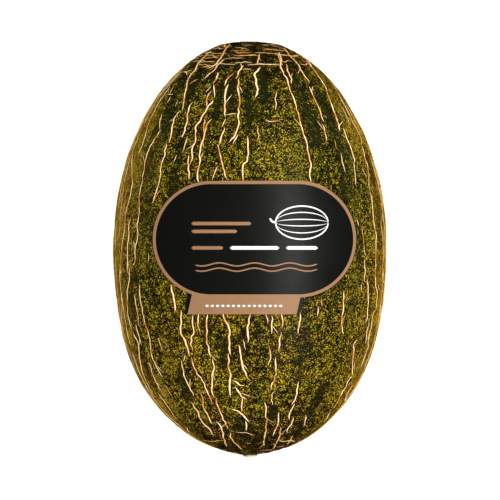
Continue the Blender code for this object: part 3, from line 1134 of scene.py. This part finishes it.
class MELON_OT_label(bpy.types.Operator):
    """Makes the die-cut label that lies on the rind"""

    bl_idname = "melon.label"
    bl_label = "Label"

    def execute(self, context):
        settings = context.scene.melon_label
        corners = self.corners()
        deselect_all()
        bpy.ops.mesh.primitive_circle_add(
            vertices=len(corners), radius=BAR_HEIGHT / 2, fill_type="NGON", location=(0, 0, 0)
        )
        piece = context.object
        piece.name = piece.data.name = "label_sheet"
        set_places(piece.data, np.array([(x, y, 0) for x, y in corners]))
        bpy.ops.object.mode_set(mode="EDIT")
        step = 2 * MM
        for axis, low, high in ((0, LABEL_LOW.x, LABEL_HIGH.x), (1, LABEL_LOW.y, LABEL_HIGH.y)):
            cuts = round((high - low) / step)
            for i in range(1, cuts):
                point = [0.0, 0.0, 0.0]
                way = [0.0, 0.0, 0.0]
                point[axis] = low + (high - low) * i / cuts
                way[axis] = 1.0
                bpy.ops.mesh.select_all(action="SELECT")
                bpy.ops.mesh.bisect(plane_co=point, plane_no=way)
        bpy.ops.object.mode_set(mode="OBJECT")
        places = get_places(piece.data)
        places[:, 2] = rind_height(places)
        base, normal, _ = over_rind(places)
        set_places(piece.data, base + normal * LABEL_LIFT)
        wall = piece.modifiers.new("thickness", "SOLIDIFY")
        wall.thickness = LABEL_THICKNESS
        wall.offset = 1
        bpy.ops.object.modifier_apply(modifier=wall.name)
        settle(piece)
        bpy.ops.object.shade_smooth_by_angle(angle=math.radians(50))
        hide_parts("label")
        dress(piece, label_material(settings))
        return {"FINISHED"}

    def corners(self):
        """The label's outline, counterclockwise from the tab's lower left corner."""
        centre_x, centre_y = BAR_CENTRE
        half = BAR_HEIGHT / 2
        middle = centre_x + TAB_SHIFT
        lower = [
            (middle - TAB_LEAN - TAB_WIDTH / 2, centre_y - half - TAB_DROP),
            (middle - TAB_LEAN + TAB_WIDTH / 2, centre_y - half - TAB_DROP),
        ]
        right = self.end_arc(1)
        left = self.end_arc(-1)
        join_right = self.tab_meets_bar(middle + TAB_WIDTH / 2)
        join_left = self.tab_meets_bar(middle - TAB_WIDTH / 2)
        right = [point for point in right if point[0] > join_right[0] or point[1] > centre_y]
        left = [point for point in left if point[0] < join_left[0] or point[1] > centre_y]
        return lower + [join_right] + right + left + [join_left]

    def end_arc(self, side):
        """One round end of the bar: upwards on the right, downwards on the left."""
        steps = 72
        half = BAR_HEIGHT / 2
        turned = [math.pi * (i / steps - 0.5) for i in range(steps + 1)]
        middle = BAR_CENTRE[0] + side * (BAR_WIDTH / 2 - half)
        reach = side * half
        return [(middle + reach * math.cos(a), BAR_CENTRE[1] + reach * math.sin(a)) for a in turned]

    def tab_meets_bar(self, x):
        """Where the tab's side meets the lower edge of the bar, at the side's upper end."""
        half = BAR_HEIGHT / 2
        reach = max(abs(x - BAR_CENTRE[0]) - (BAR_WIDTH / 2 - half), 0)
        return (x, BAR_CENTRE[1] - math.sqrt(half**2 - reach**2))


class MELON_OT_ornament(bpy.types.Operator):
    """Prints the plain ornament: a drawn melon, bars, wavy rules and dashes"""

    bl_idname = "melon.ornament"
    bl_label = "Label ornament"

    def execute(self, context):
        settings = context.scene.melon_label
        white = ink_material("white ink", settings.ink_white, settings.ink_white_shade)
        brown = ink_material("brown ink", settings.ink_brown, settings.rim_shade)
        self.print_piece("label_ornament_white", self.melon_drawing() + self.white_marks(), white)
        self.print_piece("label_ornament_brown", self.brown_marks(), brown)
        return {"FINISHED"}

    def print_piece(self, name, strokes, material):
        piece, _ = stroke_mesh(name, strokes)
        places = get_places(piece.data)
        base, normal, height = over_rind(places)
        lift = LABEL_LIFT + LABEL_THICKNESS + 0.03 * MM + np.clip(height * 0.06, -0.02 * MM, 0.04 * MM)
        set_places(piece.data, base + normal * lift[:, None])
        settle(piece)
        dress(piece, material)

    def mark(self, points, width, pointed=False):
        """One printed stroke through places given in millimetres from the middle of the bar."""
        places = [(BAR_CENTRE[0] + x * MM, BAR_CENTRE[1] + y * MM, 0.0) for x, y in points]
        length = sum(math.dist(a, b) for a, b in zip(places, places[1:]))
        count = max(6, int(length / MM) + 1)
        line = smooth_path(places, count)
        line[:, 2] = rind_height(line)
        share = np.linspace(0, 1, count)
        end = np.minimum(share, share[::-1]) * length / (width / 2 * MM)
        half = width / 2 * MM * np.sqrt(np.clip(1 - (1 - np.clip(end, 0.04, 1)) ** 2, 0, 1))
        if pointed:
            half = width / 2 * MM * np.maximum(np.sin(share * math.pi) ** 0.7, 0.15)
        return over_rind(line)[0], half

    def melon_drawing(self):
        """An oval fruit with its ribs and a short stalk."""
        middle_x, middle_y, wide, high = 27, 9.5, 15, 9.5
        strokes = []
        for squeeze in (1, 0.62, 0.2, -0.2, -0.62, -1):
            turned = [math.pi * (i / 20) for i in range(21)]
            tall = high * squeeze
            points = [(middle_x - wide * math.cos(a), middle_y + tall * math.sin(a)) for a in turned]
            strokes.append(self.mark(points, 0.9 if abs(squeeze) == 1 else 0.65, pointed=abs(squeeze) < 1))
        strokes.append(self.mark([(12.5, 9.5), (10, 10.2), (8.6, 12)], 1.3))
        return strokes

    def white_marks(self):
        bars = [[(-14, -5), (14, -5)], [(18, -5), (36, -5)]]
        strokes = [self.mark(points, 2.2) for points in bars]
        tab_y = -BAR_HEIGHT / 2 / MM - TAB_DROP / 2 / MM
        for i in range(15):
            x = TAB_SHIFT / MM - 1.1 + (i - 7) * 3
            strokes.append(self.mark([(x - 0.9, tab_y), (x + 0.9, tab_y)], 1.5))
        return strokes

    def brown_marks(self):
        bars = [[(-36, 9), (-2, 9)], [(-36, 4.5), (-10, 4.5)], [(-36, -5), (-18, -5)]]
        strokes = [self.mark(points, 2.2) for points in bars]
        for offset in (0, -3):
            points = [(x, -14.5 + offset + 0.9 * math.cos(x / 3.2)) for x in range(-34, 37, 2)]
            strokes.append(self.mark(points, 0.9))
        return strokes


class MELON_OT_scars(bpy.types.Operator):
    """Makes the corky scars at the stem end and the blossom end"""

    bl_idname = "melon.scars"
    bl_label = "End scars"

    def execute(self, context):
        settings = context.scene.melon_cork
        material = cork_material("scar cork", settings, settings.scar, settings.scar_shade, tinted=False)
        stem = ((1, 1.8), (0.86, 0.35), (0.72, -0.25), (0.56, 0.3), (0.4, -0.35), (0.2, -0.2), (0.06, 0.1))
        blossom = ((1, 1.45), (0.8, 0.2), (0.5, 0.1), (0.25, -0.1), (0.08, -0.1))
        self.button("stem_scar", 1, 6.2 * MM, stem, material)
        self.button("blossom_scar", -1, 4.2 * MM, blossom, material)
        return {"FINISHED"}

    def button(self, name, side, radius, steps, material):
        """A round scar: each step is its share of the radius and how far it rises, in millimetres."""
        end = OUTLINE[0, 0] if side > 0 else OUTLINE[-1, 0]
        centre = Vector((0, end - side * 1.3 * MM, AXIS_HEIGHT))
        deselect_all()
        bpy.ops.mesh.primitive_circle_add(
            vertices=40, radius=radius, fill_type="NGON", location=centre, rotation=(math.pi / 2, 0, 0)
        )
        piece = bpy.context.object
        piece.name = piece.data.name = name
        bpy.ops.object.transform_apply(location=True, rotation=True, scale=True)
        bpy.ops.object.mode_set(mode="EDIT")
        bpy.ops.mesh.select_all(action="SELECT")
        last = 1.0
        for share, rise in steps:
            bpy.ops.mesh.extrude_region_move(TRANSFORM_OT_translate={"value": (0, side * rise * MM, 0)})
            scale = share / last
            bpy.ops.transform.resize(value=(scale, 1, scale), center_override=centre)
            last = share
        bpy.ops.object.mode_set(mode="OBJECT")
        smooth = piece.modifiers.new("smooth", "SUBSURF")
        smooth.levels = smooth.render_levels = 2
        bpy.ops.object.modifier_apply(modifier=smooth.name)
        places = get_places(piece.data)
        local = places - np.array(centre)
        turn = np.arctan2(local[:, 0], local[:, 2])
        out = np.hypot(local[:, 0], local[:, 2]) / radius
        around = np.column_stack((np.cos(turn) * 3, np.sin(turn) * 3, out * 2))
        spokes = np.array([noise.noise(Vector(p)) for p in around])
        rough = np.array([noise.noise(Vector(p) * 1100) for p in places])
        places[:, 1] += side * (spokes * 0.2 * out + rough * 0.18) * MM
        places[:, [0, 2]] = AXIS[[0, 2]] + local[:, [0, 2]] * (1 + 0.05 * spokes)[:, None]
        set_places(piece.data, places)
        hollow = np.exp(-((out / 0.3) ** 2))
        set_values(piece.data, "rise", np.clip(0.85 + spokes * 0.25 + rough * 0.4 - hollow * 0.5, 0, 1))
        settle(piece)
        dress(piece, material)


class MELON_OT_stage(bpy.types.Operator):
    """Makes the floor, the lights and the camera"""

    bl_idname = "melon.stage"
    bl_label = "Stage"

    def execute(self, context):
        settings = context.scene.melon_stage
        deselect_all()
        bpy.ops.mesh.primitive_plane_add(size=12, location=(0, 0, 0))
        floor = context.object
        floor.name = "floor"
        made, wiring = new_material("floor")
        shader = wiring.add("ShaderNodeBsdfPrincipled")
        shader.inputs["Base Color"].default_value = (*settings.floor_colour, 1)
        shader.inputs["Roughness"].default_value = 0.9
        shader.inputs["Specular IOR Level"].default_value = 0.1
        shader.inputs["Emission Color"].default_value = (1, 1, 1, 1)
        shader.inputs["Emission Strength"].default_value = 0.45
        output = wiring.add("ShaderNodeOutputMaterial")
        wiring.put(output.inputs["Surface"], shader.outputs["BSDF"])
        floor.data.materials.append(made)
        floor.visible_glossy = False

        world = bpy.data.worlds.new("studio")
        world.use_nodes = True
        world.node_tree.nodes["Background"].inputs["Color"].default_value = (1, 1, 1, 1)
        world.node_tree.nodes["Background"].inputs["Strength"].default_value = 1.0
        world.cycles_visibility.glossy = False
        context.scene.world = world

        overhead = self.light("overhead", (0, 0, 1.6), 1.4, 1.4, 9)
        overhead.visible_glossy = False
        self.light("strip", (0.95, 0.0, 1.45), 0.80, 3.2, 22)

        deselect_all()
        height = AXIS_HEIGHT + settings.camera_height
        bpy.ops.object.camera_add(location=(0, settings.camera_shift, height), rotation=(0, 0, 0))
        camera = context.object
        camera.name = "camera"
        camera.data.sensor_width = 36
        camera.data.lens = 36 * settings.camera_height / settings.view_width
        camera.data.clip_end = 100
        context.scene.camera = camera
        context.scene.view_settings.view_transform = "Standard"
        return {"FINISHED"}

    def light(self, name, place, width, length, power):
        """An area light that looks at the melon."""
        deselect_all()
        aim = Vector((0, 0, AXIS_HEIGHT)) - Vector(place)
        turn = aim.to_track_quat("-Z", "Y").to_euler()
        bpy.ops.object.light_add(type="AREA", location=place, rotation=turn)
        lamp = bpy.context.object
        lamp.name = name
        lamp.data.shape = "RECTANGLE"
        lamp.data.size = length
        lamp.data.size_y = width
        lamp.data.energy = power
        return lamp


class MELON_PT_panel(bpy.types.Panel):
    """The melon's settings and steps"""

    bl_idname = "MELON_PT_panel"
    bl_label = "Melon"
    bl_space_type = "VIEW_3D"
    bl_region_type = "UI"
    bl_category = "Melon"

    def draw(self, context):
        for settings_class, attribute, title in SETTINGS:
            box = self.layout.box()
            box.label(text=title)
            for key in settings_class.__annotations__:
                box.prop(getattr(context.scene, attribute), key)
        for step in STEPS:
            self.layout.operator(step.bl_idname)


SETTINGS = (
    (RindSettings, "melon_rind", "Rind"),
    (CorkSettings, "melon_cork", "Cork"),
    (LabelSettings, "melon_label", "Label"),
    (StageSettings, "melon_stage", "Stage"),
)
STEPS = (MELON_OT_rind, MELON_OT_cork, MELON_OT_scars, MELON_OT_label, MELON_OT_ornament, MELON_OT_stage)


def register():
    for settings_class, attribute, _ in SETTINGS:
        bpy.utils.register_class(settings_class)
        setattr(bpy.types.Scene, attribute, bpy.props.PointerProperty(type=settings_class))
    for step in STEPS:
        bpy.utils.register_class(step)
    bpy.utils.register_class(MELON_PT_panel)


def unregister():
    bpy.utils.unregister_class(MELON_PT_panel)
    for step in reversed(STEPS):
        bpy.utils.unregister_class(step)
    for settings_class, attribute, _ in reversed(SETTINGS):
        delattr(bpy.types.Scene, attribute)
        bpy.utils.unregister_class(settings_class)


def main():
    register()
    bpy.ops.melon.rind()
    bpy.ops.melon.cork()
    bpy.ops.melon.scars()
    bpy.ops.melon.label()
    bpy.ops.melon.ornament()
    bpy.ops.melon.stage()


if __name__ == "__main__":
    main()
